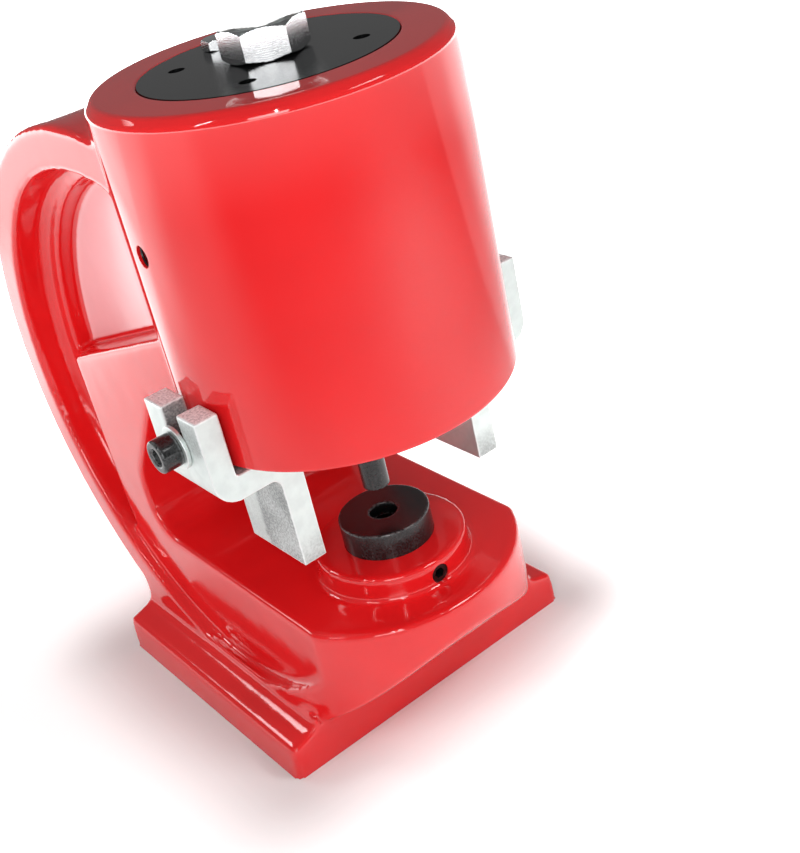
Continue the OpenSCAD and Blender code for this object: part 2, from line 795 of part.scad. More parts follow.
// Hexagonal nipple between the cap's port and the coupler
module port_adapter() {
  color(bright_steel) difference() {
    union() {
      translate([0, 0, barrel_top_z]) turned_hexagon(adapter_flats, adapter_hex_h);
      translate([0, 0, barrel_top_z - adapter_thread_len])
        cylinder(d = port_d, h = adapter_top_z - barrel_top_z + adapter_thread_len);
    }
    translate([0, 0, barrel_top_z - adapter_thread_len - cut])
      cylinder(d = adapter_bore_d, h = adapter_top_z);
  }
}

// Half of a quick coupler: hexagon, nipple with its ball groove, and the poppet's bore
module coupler_body() {
  nipple_r = nipple_d / 2;
  groove_bottom_r = nipple_r - ball_groove_depth;
  color(zinc) difference() {
    union() {
      translate([0, 0, coupler_z]) turned_hexagon(coupler_flats, coupler_hex_h);
      rotate_extrude() polygon([[0, neck_z - cut], [nipple_r, neck_z - cut], [nipple_r, groove_z],
        [groove_bottom_r, groove_z], [groove_bottom_r, land_z], [nipple_r, land_z],
        [nipple_r, taper_z], [nipple_face_d / 2, coupler_top_z], [0, coupler_top_z]]);
    }
    translate([0, 0, coupler_z - cut])
      cylinder(d = port_d + 2 * seat_gap, h = adapter_thread_len + cut);
    translate([0, 0, adapter_top_z - cut])
      cylinder(d = poppet_bore_d, h = poppet_seat_z - adapter_top_z + cut);
    translate([0, 0, poppet_seat_z - cut])
      cylinder(d = poppet_d + 2 * run_gap, h = poppet_seat_t + 2 * cut);
  }
}

// Poppet that closes the coupler
module coupler_poppet() {
  guide_d = poppet_bore_d - 2 * run_gap;
  color(bright_steel) translate([0, 0, poppet_z]) {
    cylinder(d = guide_d, h = poppet_guide_h);
    cylinder(d = poppet_d, h = coupler_top_z + poppet_stickout - poppet_z);
  }
}

// Small coil spring behind the poppet
module poppet_spring() {
  mean_d = poppet_bore_d - 2 * poppet_wire - 2 * run_gap;
  path = coil_path(mean_d, poppet_wire, adapter_top_z, poppet_z, poppet_turns);
  echo("poppet_spring least gap between turns", coil_least_gap(path, poppet_wire));
  color(bright_steel) coil_spring(path, poppet_wire);
}

c_frame();
cylinder_barrel();
end_cap();
end_cap_seal();
bleed_screw();
guide_bush();
rod_wiper();
ram();
piston();
piston_screw();
piston_seal();
backup_ring();
wear_ring();
return_spring();
punch_nut();
punch();
die();
die_set_screw();
left_clamp();
right_clamp();
clamp_screws();
clamp_washers();
port_adapter();
coupler_body();
coupler_poppet();
poppet_spring();
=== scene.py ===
# %% [markdown]
# # A hydraulic hole punch
# The tool is a red C-shaped casting with a short, fat oil cylinder at its front. Oil from a
# separate pump pushes a ram down, the ram drives a punch through a plate, and the two plated
# clamps beside it strip the plate off again. The solids give every piece its size and place.
# This lesson gives them cast corners, turned edges, threads, springs and finishes.

# %% The solids
import json
import math

import bmesh
import bpy
import numpy as np
from mathutils import Matrix, Vector, noise


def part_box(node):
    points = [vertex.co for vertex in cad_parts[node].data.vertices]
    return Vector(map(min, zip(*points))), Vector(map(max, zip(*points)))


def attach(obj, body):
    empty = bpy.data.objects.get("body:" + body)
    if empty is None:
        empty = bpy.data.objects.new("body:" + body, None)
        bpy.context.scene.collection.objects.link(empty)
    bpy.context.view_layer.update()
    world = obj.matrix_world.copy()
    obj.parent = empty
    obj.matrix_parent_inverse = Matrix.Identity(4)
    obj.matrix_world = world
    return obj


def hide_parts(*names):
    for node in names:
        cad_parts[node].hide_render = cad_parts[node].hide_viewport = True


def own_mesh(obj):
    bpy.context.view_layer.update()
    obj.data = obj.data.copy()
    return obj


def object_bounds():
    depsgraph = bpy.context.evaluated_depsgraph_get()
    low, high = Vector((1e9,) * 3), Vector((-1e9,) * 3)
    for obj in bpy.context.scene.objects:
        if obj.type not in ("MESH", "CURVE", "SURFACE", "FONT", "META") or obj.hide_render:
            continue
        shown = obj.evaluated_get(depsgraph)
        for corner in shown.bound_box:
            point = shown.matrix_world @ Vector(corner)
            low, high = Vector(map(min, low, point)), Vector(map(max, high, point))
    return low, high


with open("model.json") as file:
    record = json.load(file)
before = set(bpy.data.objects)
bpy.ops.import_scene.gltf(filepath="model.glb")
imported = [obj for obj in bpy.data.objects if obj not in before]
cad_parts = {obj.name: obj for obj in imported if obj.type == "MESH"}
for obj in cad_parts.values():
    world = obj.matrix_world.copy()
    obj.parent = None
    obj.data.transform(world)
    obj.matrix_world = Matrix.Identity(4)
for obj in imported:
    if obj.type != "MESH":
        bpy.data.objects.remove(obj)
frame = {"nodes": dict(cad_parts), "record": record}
cad_low, cad_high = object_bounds()
solids = frame["nodes"]
MM = 0.001


def box_mm(node):
    """The two corners of a solid's box, in millimetres."""
    low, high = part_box(node)
    return low / MM, high / MM


print("solids:", len(solids), "size in mm:", [round(side / MM) for side in cad_high - cad_low])

# %% [markdown]
# ## The camera
# The photographer stood above and to the left of the tool and tilted the camera, so the tool
# leans in the picture. A camera can be aimed with a constraint or by hand. Here its place and
# its three angles are written down, because they were measured from the cylinder's outline
# and a clamp's corners, and the rows of its matrix follow from them.

# %% Camera
image_h = 853
focal_px = 1318.9
sensor_mm = 36
eye = Vector((-230.9, -395.2, 376.5)) * MM
yaw, pitch, roll = (math.radians(angle) for angle in (32.12, 28.75, -13.33))
ahead = Vector((math.sin(yaw) * math.cos(pitch), math.cos(yaw) * math.cos(pitch), -math.sin(pitch)))
level = Vector((math.cos(yaw), -math.sin(yaw), 0))
upright = level.cross(ahead)
right = math.cos(roll) * level + math.sin(roll) * upright
up = math.cos(roll) * upright - math.sin(roll) * level
camera = bpy.data.objects.new("camera", bpy.data.cameras.new("camera"))
camera.data.sensor_width = sensor_mm
camera.data.lens = focal_px * sensor_mm / image_h
camera.matrix_world = Matrix.Translation(eye) @ Matrix((right, up, -ahead)).transposed().to_4x4()
bpy.context.scene.collection.objects.link(camera)
bpy.context.scene.camera = camera
print("camera lens in mm:", round(camera.data.lens, 2))

# %% [markdown]
# ## Shader arithmetic
# A finish is a graph of nodes, and a long graph is hard to read as code. Wrapping a socket in
# a small class lets a formula such as `1 - mask * 0.5` add its Math nodes by itself. Every
# other node comes from one method, which takes the node's settings first and its sockets next.

# %% A socket that can be added and multiplied
def pick(sockets, key):
    """A socket by its place in the list, its identifier or its name."""
    if isinstance(key, int):
        return sockets[key]
    return next(socket for socket in sockets if key in (socket.identifier, socket.name))


class Signal:
    """An output of a material's nodes. Sums and products of signals become Math nodes."""

    def __init__(self, tree, socket=None):
        self.tree = tree
        self.socket = socket

    def node(self, kind, settings=None, inputs=None, output=0):
        """Add a node: settings first, then a number, a colour or a signal for each socket."""
        made = self.tree.nodes.new("ShaderNode" + kind)
        for name, value in (settings or {}).items():
            setattr(made, name, value)
        for name, value in (inputs or {}).items():
            self.feed(value, pick(made.inputs, name))
        return Signal(self.tree, pick(made.outputs, output))

    def feed(self, value, socket):
        if isinstance(value, Signal):
            self.tree.links.new(value.socket, socket)
        else:
            socket.default_value = value

    def calculate(self, operation, first, second):
        return self.node("Math", {"operation": operation}, {0: first, 1: second})

    def __add__(self, other):
        return self.calculate("ADD", self, other)

    def __sub__(self, other):
        return self.calculate("SUBTRACT", self, other)

    def __rsub__(self, other):
        return self.calculate("SUBTRACT", other, self)

    def __mul__(self, other):
        return self.calculate("MULTIPLY", self, other)

    def __truediv__(self, other):
        return self.calculate("DIVIDE", self, other)

    def __pow__(self, other):
        return self.calculate("POWER", self, other)

    __radd__ = __add__
    __rmul__ = __mul__


print("signals add, subtract, multiply, divide and raise")

# %% [markdown]
# ## What the finishes share
# Paint, zinc and oxide all vary with noise of one size or another, and all of them are turned
# into roughness, colour or height. These helpers keep that in millimetres, the unit in which
# one would describe a surface with a lens in hand.

# %% Helpers for finishes
def place(signal):
    """The point on the piece, in metres."""
    return signal.node("TexCoord", output="Object")


def split(vector):
    """The three numbers of a vector."""
    parts = vector.node("SeparateXYZ", {}, {0: vector}).socket.node.outputs
    return [Signal(vector.tree, part) for part in parts]


def grain(signal, size_mm, detail=2.0, where=None):
    """Noise from 0 to 1, with lumps of about that size."""
    sockets = {"Vector": where or place(signal), "Scale": 1 / (size_mm * MM), "Detail": detail}
    return signal.node("TexNoise", {}, sockets)


def ease(signal, low, high):
    """0 below the low value, 1 above the high one and smooth between them."""
    sockets = {"Value": signal, "From Min": low, "From Max": high}
    return signal.node("MapRange", {"interpolation_type": "SMOOTHSTEP"}, sockets)


def blend(share, first, second):
    """A colour between two colours."""
    sockets = {"Factor_Float": share, "A_Color": first, "B_Color": second}
    return share.node("Mix", {"data_type": "RGBA"}, sockets, "Result_Color")


def raised(height, depth_mm):
    """A normal that follows a height from 0 to 1."""
    return height.node("Bump", {}, {"Height": height, "Distance": depth_mm * MM, "Strength": 1.0})


def mark(signal, name):
    """A number that a piece carries at each of its points."""
    return signal.node("Attribute", {"attribute_name": name}, output="Fac")


def finish(name, recipe):
    """A material whose shader sockets come from a recipe."""
    material = bpy.data.materials.new(name)
    material.use_nodes = True
    start = Signal(material.node_tree)
    shader = material.node_tree.nodes["Principled BSDF"]
    for socket, value in recipe(start).items():
        start.feed(value, shader.inputs[socket])
    print(name, "has", len(material.node_tree.nodes), "nodes")
    return material


print("a millimetre in the finishes is", MM, "m")

# %% [markdown]
# ## Red paint on the casting
# The casting is sprayed with a thick gloss enamel. It settles in slow waves over the sandy
# skin below, so reflections wobble, and close up it has the dimples of sprayed paint. Both
# are heights in one bump. Gloss comes from the shader's own reflection and not from its clear
# coat, because a bump doesn't reach the coat. The floor of the upper pocket has a painted
# sheen: its colour is a pale pink that stands in for the bright room reflected in these
# sideways faces, and it fades out at the floor's edge.
# The pocket's floor is a plane that faces sideways, so its distance from the middle plane and
# its direction find it.

# %% Casting paint
RED = (0.75, 0.012, 0.014, 1)
DEEP_RED = (0.68, 0.010, 0.012, 1)
# Pale pink of the painted sheen on the pocket's floor, in place of a reflection.
PAINTED_SHEEN_PINK = (0.94, 0.55, 0.57, 1)
pocket_y, pocket_z = 0.115, 0.19
pocket_low, pocket_front, pocket_fade = 0.12, 0.03, 0.005
sheen_full_mm, sheen_gone_mm = 0.3, 1.5
facing_none, facing_full = 0.75, 0.95


def frame_hit(start, direction):
    """Where a ray first meets the frame's solid."""
    return solids["c_frame"].ray_cast(start, direction)[1]


pocket_floor = frame_hit((cad_low.x, pocket_y, pocket_z), (1, 0, 0))
print("pocket floor from the middle plane in mm:", round(-pocket_floor.x / MM, 2))


def painted_pocket_sheen(s):
    """Painted sheen: 1 on the floor of the upper pocket, on both sides, and 0 elsewhere."""
    x, y, z = split(place(s))
    sideways, _, _ = split(s.node("TexCoord", output="Normal"))
    above_mm = (x * x) ** 0.5 / MM + pocket_floor.x / MM
    drifting = above_mm + (grain(s, 8, 2.0) - 0.5) * 0.5
    near = 1 - ease((drifting * drifting) ** 0.5, sheen_full_mm, sheen_gone_mm)
    over_shelf = ease(z, pocket_low, pocket_low + pocket_fade)
    behind_front = ease(y, pocket_front, pocket_front + pocket_fade)
    return near * over_shelf * behind_front * ease(sideways * sideways, facing_none, facing_full)


def casting_paint(s):
    dimples = grain(s, 1.6, 1.0)
    waves = grain(s, 14, 1.0)
    flow = grain(s, 40, 2.0)
    # Painted sheen: the pocket's floor turns pale pink, as if it mirrored the bright room.
    paleness = painted_pocket_sheen(s)
    enamel = blend(ease(flow, 0.3, 0.75), RED, DEEP_RED)
    return {
        "Base Color": blend(paleness * (0.8 + flow * 0.25), enamel, PAINTED_SHEEN_PINK),
        "Roughness": 0.07 + grain(s, 5) * 0.05 + paleness * 0.15,
        "IOR": 1.6,
        "Normal": raised(dimples * 0.08 + waves, 0.16),
    }


red_cast = finish("red_paint_cast", casting_paint)

# %% [markdown]
# ## Red paint on the cylinder
# The cylinder is turned before it is painted, so the same enamel lies smooth on it and works
# as a mirror: the clamps show in it with sharp edges. A faint dimple is all that is left.

# %% Cylinder paint
def cylinder_paint(s):
    dimples = grain(s, 2.2, 1.0)
    waves = grain(s, 30, 1.0)
    flow = grain(s, 55, 2.0)
    return {
        "Base Color": blend(ease(flow, 0.3, 0.75), RED, DEEP_RED),
        "Roughness": 0.04 + grain(s, 6) * 0.02,
        "IOR": 1.65,
        "Normal": raised(dimples * 0.03 + waves, 0.05),
    }


red_turned = finish("red_paint_turned", cylinder_paint)

# %% [markdown]
# ## Zinc plate
# The clamps are cut from bar with a saw, bent and plated. Rolled faces come out pale and satin,
# and the rough faces stay grey. The saw-cut tops of the prongs are painted light: pale grey with
# white specks, which stand in for the light that falls on them from above and for their glints.
# Each clamp carries marks that say where it is saw-cut, coarse or rubbed, so one material serves
# every kind of face.

# %% Zinc
PALE_ZINC, DULL_ZINC = (0.70, 0.76, 0.74, 1), (0.64, 0.695, 0.68, 1)
DARK_GREY, LIGHT_GREY = (0.22, 0.235, 0.235, 1), (0.58, 0.61, 0.605, 1)
# Light grey and white: painted light and glints on the saw-cut prong tops.
LIT_TOP_GREY, GLINT_WHITE = (0.62, 0.63, 0.64, 1), (1.0, 1.0, 1.0, 1)
RUBBED_ZINC = (0.95, 0.96, 0.955, 1)


def zinc(s):
    coarse = mark(s, "coarse")
    sawn_lit_top = mark(s, "sawn_lit_top")
    worn = mark(s, "worn")
    sparkle = grain(s, 0.95, 3.0)
    clouds = grain(s, 6, 3.0)
    drift = grain(s, 17, 1.0)
    rolled = blend(ease(clouds, 0.35, 0.7), PALE_ZINC, DULL_ZINC)
    grey = blend(ease(sparkle * 0.75 + drift * 0.5, 0.42, 0.85), DARK_GREY, LIGHT_GREY)
    # Painted highlight: the saw-cut tops turn light grey to white, as if lit from above.
    painted_top_glints = blend(ease(sparkle, 0.35, 0.65), LIT_TOP_GREY, GLINT_WHITE)
    plate = blend(sawn_lit_top, blend(coarse, rolled, grey), painted_top_glints)
    return {
        "Base Color": blend(worn * 0.8, plate, RUBBED_ZINC),
        "Metallic": 0.75 - coarse * 0.5 - sawn_lit_top * 0.65,
        "Roughness": 0.34 + coarse * 0.1 + clouds * 0.1 - worn * 0.12,
        "Normal": raised(grain(s, 1.2, 3.0) * 0.15 + sparkle * (coarse + sawn_lit_top), 0.14),
    }


zinc_plate = finish("zinc_plate", zinc)

# %% [markdown]
# ## Black oxide
# Socket screws, the punch and the die are blackened in hot salts and oiled. The film is thin:
# it is deep black and satin on the faces, and rubs to grey steel along the edges.

# %% Oxide
DEEP_BLACK, OILY_BLACK = (0.005, 0.0052, 0.0055, 1), (0.008, 0.0083, 0.0088, 1)
BARE_STEEL = (0.24, 0.245, 0.25, 1)


def oxide(s):
    worn = mark(s, "worn")
    patches = grain(s, 5, 3.0)
    film = blend(ease(patches, 0.35, 0.75), DEEP_BLACK, OILY_BLACK)
    rubbed = worn * ease(grain(s, 1.1, 3.0), 0.3, 0.7)
    return {
        "Base Color": blend(rubbed, film, BARE_STEEL),
        "Metallic": 0.05 + rubbed * 0.7,
        "Roughness": 0.19 + patches * 0.05,
        "Normal": raised(grain(s, 0.5, 2.0), 0.002),
    }


black_oxide = finish("black_oxide", oxide)

# %% [markdown]
# ## Ground and turned metal
# The ram, the rings' seats and the fittings leave the lathe with fine circles around their
# axis. Noise that is read by radius and height alone, and not by the point's angle, draws
# such circles on faces and rods alike.

# %% Turned metals
def around_z(s):
    """Radius and height of a point: noise read there runs in circles round the axis."""
    x, y, z = split(place(s))
    radius = (x * x + y * y) ** 0.5
    return s.node("CombineXYZ", {}, {"X": radius, "Z": z})


def turned_metal(pale, dark, roughness):
    def recipe(s):
        circles = grain(s, 0.35, 3.0, around_z(s))
        stains = grain(s, 9, 3.0)
        return {
            "Base Color": blend(ease(circles * 0.6 + stains * 0.4, 0.35, 0.65), pale, dark),
            "Metallic": 1.0,
            "Roughness": roughness + stains * 0.12,
            "Normal": raised(circles, 0.02),
        }
    return recipe


bright_steel = finish("bright_steel", turned_metal(
    pale=(0.66, 0.67, 0.68, 1), dark=(0.50, 0.51, 0.52, 1), roughness=0.16))
bronze = finish("bronze", turned_metal(
    pale=(0.60, 0.42, 0.20, 1), dark=(0.45, 0.29, 0.12, 1), roughness=0.24))

# %% [markdown]
# ## Rubber and plastic rings
# The seals inside the cylinder are dull: rubber with a bloom of grey dust, and two moulded
# plastics. They are hidden until the tool is taken apart, and differ only in colour and size
# of grain, so one recipe makes all three.

# %% Rings
def moulded(dark, pale, size_mm, roughness):
    def recipe(s):
        paleness = grain(s, size_mm, 4.0)
        return {
            "Base Color": blend(ease(paleness, 0.35, 0.8), dark, pale),
            "Roughness": roughness + paleness * 0.15,
            "Normal": raised(grain(s, 0.4, 2.0), 0.02),
        }
    return recipe


rubber = finish("seal_rubber", moulded(
    dark=(0.012, 0.012, 0.013, 1), pale=(0.035, 0.035, 0.036, 1), size_mm=5, roughness=0.5))
cream = finish("backup_plastic", moulded(
    dark=(0.78, 0.74, 0.63, 1), pale=(0.84, 0.81, 0.72, 1), size_mm=4, roughness=0.35))
brown = finish("wear_plastic", moulded(
    dark=(0.20, 0.075, 0.035, 1), pale=(0.30, 0.13, 0.07, 1), size_mm=3, roughness=0.4))

# %% [markdown]
# ## Making meshes
# Most pieces of this tool are turned on a lathe, so most meshes here are too: a list of rings
# from one end to the other, skinned with faces. A ring's radius may depend on the angle,
# which gives hexagons and sockets from the same tool. Corners of a profile are rounded first,
# because no real edge is sharp and a rounded edge catches the light. Threads and springs are
# wound: one section climbs a helix, and its loops are skinned in the same way.

# %% Profiles
STEPS, HEX_STEPS, FINE_STEPS = 96, 144, 256
ROUND_STEPS = 4
AXIS = 0.01


def rounded(profile, size_mm, steps=ROUND_STEPS, most=0.45):
    """A closed profile of (radius, height) in millimetres, with its corners rounded."""
    smooth = []
    for i, corner in enumerate(profile):
        corner = Vector(corner)
        before = Vector(profile[i - 1]) - corner
        after = Vector(profile[(i + 1) % len(profile)]) - corner
        cut = min(size_mm, most * before.length, most * after.length)
        start = corner + before.normalized() * cut
        end = corner + after.normalized() * cut
        for k in range(steps + 1):
            t = k / steps
            smooth.append((1 - t) ** 2 * start + 2 * t * (1 - t) * corner + t ** 2 * end)
    return [(point.x, point.y) for point in smooth]


def held(rings, near_mm=0.7, most=0.3):
    """Add rings close to the ends of long straight stretches, so that worn edges stay narrow."""
    more = []
    for a, b in zip(rings, rings[1:] + rings[:1]):
        more.append(a)
        if callable(a[0]) or callable(b[0]):
            continue
        start, end = Vector(a), Vector(b)
        share = near_mm / max((end - start).length, near_mm)
        if share < most:
            more += [tuple(start.lerp(end, share)), tuple(end.lerp(start, share))]
    return more


def flats(half_mm):
    """The radius of a hexagon, by angle, given half its width across flats."""
    sixth = math.pi / 3
    return lambda angle: half_mm / math.cos((angle + sixth / 2) % sixth - sixth / 2)


def trimmed(radius_mm, half_mm):
    """A round bar of that radius with six flats on it."""
    hexagon = flats(half_mm)
    return lambda angle: min(radius_mm, hexagon(angle))


print("rings have", STEPS, HEX_STEPS, "or", FINE_STEPS, "points, and", AXIS, "mm stands for the axis")


# %% Lathe
def turned(name, rings, places=(Matrix.Identity(4),), steps=STEPS):
    """Skin closed loops of rings, (radius, height) in millimetres, round the Z axis."""
    build = bmesh.new()
    for spot in places:
        loops = []
        for radius, height in rings:
            loop = []
            for k in range(steps):
                angle = 2 * math.pi * k / steps
                r = (radius(angle) if callable(radius) else radius) * MM
                point = Vector((r * math.cos(angle), r * math.sin(angle), height * MM))
                loop.append(build.verts.new(spot @ point))
            loops.append(loop)
        for a, b in zip(loops, loops[1:] + loops[:1]):
            for k in range(steps):
                build.faces.new((a[k - 1], a[k], b[k], b[k - 1]))
    bmesh.ops.remove_doubles(build, verts=build.verts, dist=1e-7)
    bmesh.ops.recalc_face_normals(build, faces=build.faces)
    return piece_from(name, build)


def piece_from(name, build):
    """Turn a bmesh into a smooth-shaded object."""
    mesh = bpy.data.meshes.new(name)
    build.to_mesh(mesh)
    build.free()
    piece = bpy.data.objects.new(name, mesh)
    bpy.context.scene.collection.objects.link(piece)
    mesh.shade_smooth()
    return piece


def wound(name, section, start, rise, count, per_turn, places=(Matrix.Identity(4),)):
    """Wind a section, a loop of (radius, height) in millimetres, up a helix round the Z axis."""
    build = bmesh.new()
    for spot in places:
        loops = []
        for i in range(count + 1):
            turn = spot @ Matrix.Rotation(2 * math.pi * i / per_turn, 4, "Z")
            height = start + rise * i / count
            ring = [Vector((r, 0, height + z)) * MM for r, z in section]
            loops.append([build.verts.new(turn @ point) for point in ring])
        for a, b in zip(loops, loops[1:]):
            for k in range(len(section)):
                build.faces.new((a[k - 1], a[k], b[k], b[k - 1]))
        build.faces.new(loops[0])
        build.faces.new(loops[-1][::-1])
    bmesh.ops.recalc_face_normals(build, faces=build.faces)
    return piece_from(name, build)


print("the lathe can turn rings and wind a section")

# %% [markdown]
# ## Casting and bending
# The frame and the clamps aren't turned. Their solids have sharp corners, and the real ones
# are soft everywhere. A bevel would stumble over so many meeting arcs. Instead the solid is
# rebuilt from small cubes, and its points are drawn a little towards their neighbours, which
# rounds the outer and the inner corners alike. Points on the frame's flat base keep their place.

# %% Remesh and soften
PULL = 0.5


def applied(piece, kind, **settings):
    """Add a modifier to a piece and bake it into the mesh."""
    modifier = piece.modifiers.new(kind.lower(), kind)
    for name, value in settings.items():
        setattr(modifier, name, value)
    result = bpy.data.meshes.new_from_object(
        piece.evaluated_get(bpy.context.evaluated_depsgraph_get()))
    piece.modifiers.clear()
    old = piece.data
    piece.data = result
    bpy.data.meshes.remove(old)


def solid_copy(name, node):
    """A copy of a solid's mesh with its seams welded."""
    build = bmesh.new()
    build.from_mesh(solids[node].data)
    bmesh.ops.remove_doubles(build, verts=build.verts, dist=2e-6)
    return piece_from(name, build)


def points_of(piece):
    spots = np.empty(len(piece.data.vertices) * 3)
    piece.data.vertices.foreach_get("co", spots)
    return spots.reshape(-1, 3)


def normals_of(piece):
    normals = np.empty(len(piece.data.vertices) * 3)
    piece.data.vertex_normals.foreach_get("vector", normals)
    return normals.reshape(-1, 3)


def edges_of(piece):
    pairs = np.empty(len(piece.data.edges) * 2, int)
    piece.data.edges.foreach_get("vertices", pairs)
    return pairs.reshape(-1, 2)


def average_of_neighbours(values, pairs):
    total = np.zeros_like(values)
    count = np.zeros(len(values))
    for a, b in (pairs.T, pairs.T[::-1]):
        np.add.at(total, a, values[b])
        np.add.at(count, a, 1)
    return total / np.maximum(count, 1).reshape((-1,) + (1,) * (values.ndim - 1))


def soften(piece, rounds, freedom):
    """Draw each point towards its neighbours, as far as its freedom from 0 to 1 lets it."""
    spots, pairs = points_of(piece), edges_of(piece)
    for _ in range(rounds):
        spots += PULL * freedom[:, None] * (average_of_neighbours(spots, pairs) - spots)
    piece.data.vertices.foreach_set("co", spots.ravel())
    piece.data.update()


print("share of the way to its neighbours that a point moves:", PULL)


# %% Edges and hand-over of a piece
def note(piece, name, values):
    """Store a number at each point of a piece, for its material to read."""
    attribute = piece.data.attributes.new(name, "FLOAT", "POINT")
    attribute.data.foreach_set("value", np.asarray(values, np.float32))


def sharpness(piece, full_angle):
    """How sharply each point sticks out, from 0 to 1, by the fold of its edges."""
    build = bmesh.new()
    build.from_mesh(piece.data)
    folds = np.zeros(len(build.verts))
    for edge in build.edges:
        fold = edge.calc_face_angle_signed(0)
        for vertex in edge.verts:
            folds[vertex.index] = max(folds[vertex.index], fold)
    build.free()
    return np.clip(folds / math.radians(full_angle), 0, 1)


def rub(piece, full_angle, share=1.0):
    """Mark the edges of a piece as worn, and most where they fold by the full angle."""
    note(piece, "worn", share * sharpness(piece, full_angle))


def crease(piece, angle):
    """Shade edges that fold by more than an angle as sharp ones."""
    piece.data.set_sharp_from_angle(angle=math.radians(angle))


def settle(piece, body, material, replaced=()):
    """Give a piece its finish, its place among the moving bodies and the solid it stands for."""
    piece.data.materials.clear()
    piece.data.materials.append(material)
    even = piece.modifiers.new("even_shading", "WEIGHTED_NORMAL")
    even.keep_sharp = True
    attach(piece, body)
    if replaced:
        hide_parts(*replaced)
    print(piece.name, "has", len(piece.data.polygons), "faces")


print("pieces can be marked, creased and settled")

# %% [markdown]
# ## The cast frame
# The frame is one steel casting: an arched rim with a channel inside it, a thin web, flat
# cheeks round the throat, a jaw with the die's boss, and a foot. The cylinder is set in before
# painting, and a bead of filler and paint bridges the seam. So a plug of nearly the cylinder's
# size is rebuilt and softened together with the frame, which turns the seam into a hollow
# fillet. The die's seat and the set screw's hole are plugged too. A machinist bores such holes
# after the casting, and here the plugs are bored out the same way, which leaves crisp rims.

# %% Frame with plugs
frame_cube = 1.0 * MM
cast_rounds = 16
cast_share = 0.24
base_skin = 0.2 * MM
plug_short = 0.3 * MM
seat_bite = 0.1 * MM
plug_over = 0.5 * MM
slug_plug = 3 * MM
barrel_low, barrel_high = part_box("cylinder_barrel")
die_low, die_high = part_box("die")
screw_low, screw_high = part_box("die_set_screw")
seat_r = barrel_high.x - seat_bite
die_r = die_high.x
screw_r = (screw_high.z - screw_low.z) / 2
screw_z = (screw_high.z + screw_low.z) / 2
forward = Matrix.Translation((0, 0, screw_z)) @ Matrix.Rotation(math.radians(90), 4, "X")
boss_top = frame_hit((0, -die_r - MM, die_high.z), (0, 0, -1))
boss_wall = frame_hit((screw_r + plug_over, cad_low.y, screw_z), (0, 1, 0))
slug_wall = frame_hit((0, 0, die_low.z - slug_plug), (1, 0, 0))
print("boss top and wall in mm:", round(boss_top.z / MM, 2), round(-boss_wall.y / MM, 2))


def round_bar(build, radius, low, high, turn=Matrix.Identity(4)):
    """Add a closed round bar to a bmesh, on the punch's axis or turned away from it."""
    bmesh.ops.create_cone(
        build, cap_ends=True, segments=FINE_STEPS, radius1=radius, radius2=radius, depth=high - low,
        matrix=turn @ Matrix.Translation((0, 0, (low + high) / 2)))


casting = solid_copy("frame_casting", "c_frame")
plugged = bmesh.new()
plugged.from_mesh(casting.data)
round_bar(plugged, seat_r, barrel_low.z + plug_short, barrel_high.z - plug_short)
round_bar(plugged, die_r + plug_over, die_low.z - slug_plug, boss_top.z)
round_bar(plugged, screw_r + plug_over, 0, -boss_wall.y, forward)
plugged.to_mesh(casting.data)
plugged.free()
applied(casting, "REMESH", mode="VOXEL", voxel_size=frame_cube)
soften(casting, cast_rounds, np.where(points_of(casting)[:, 2] < base_skin, 0.0, 1.0))
applied(casting, "DECIMATE", ratio=cast_share)
print("the casting with its plugs has", len(casting.data.polygons), "faces")

# %% Bores
bore_gap = 0.05 * MM
slug_gap = 0.2 * MM
drill_over = 3 * MM


def bore(piece, *bar):
    """Cut a round hole into a piece."""
    build = bmesh.new()
    round_bar(build, *bar)
    tool = piece_from("boring_bar", build)
    applied(piece, "BOOLEAN", operation="DIFFERENCE", object=tool, solver="MANIFOLD")
    bpy.data.objects.remove(tool)


bore(casting, seat_r, barrel_low.z, barrel_high.z + drill_over)
bore(casting, die_r + bore_gap, die_low.z, boss_top.z + drill_over)
bore(casting, slug_wall.x + slug_gap, die_low.z - 2 * slug_plug, die_low.z + drill_over)
bore(casting, screw_r + bore_gap, die_r - drill_over, drill_over - boss_wall.y, forward)
casting.data.shade_smooth()
crease(casting, 60)
settle(casting, "frame_body", red_cast, ["c_frame"])

# %% [markdown]
# ## The cylinder
# The cylinder is a lathe job: one profile holds its floor, its bore, the seat of the lid and
# its rounded rims. The two side holes for a carrying handle are cut afterwards and get a real
# thread, a ridge that winds down the hole.

# %% Cylinder
piston_gap, lip_gap = 0.05, 0.4
barrel_bevel, rim_round = 3.0, 1.4
barrel_r = barrel_high.x / MM
foot_z, top_z = barrel_low.z / MM, barrel_high.z / MM
cap_low, cap_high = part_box("end_cap")
cap_r, cap_z = cap_high.x / MM, cap_low.z / MM
bush_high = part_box("guide_bush")[1]
bush_r, floor_z = bush_high.x / MM, bush_high.z / MM
wiper_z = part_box("rod_wiper")[0].z / MM
bore_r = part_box("piston")[1].x / MM + piston_gap
lip_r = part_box("ram")[1].x / MM + lip_gap
barrel_profile = [
    (lip_r, foot_z), (barrel_r, foot_z), (barrel_r, top_z - barrel_bevel),
    (barrel_r - barrel_bevel, top_z), (cap_r, top_z), (cap_r, cap_z), (bore_r, cap_z),
    (bore_r, floor_z), (bush_r, floor_z), (bush_r, wiper_z), (lip_r, wiper_z),
]
barrel = turned("cylinder_barrel_painted", rounded(barrel_profile, rim_round), steps=FINE_STEPS)
print("cylinder and bore radius in mm:", round(barrel_r, 2), round(bore_r, 2))

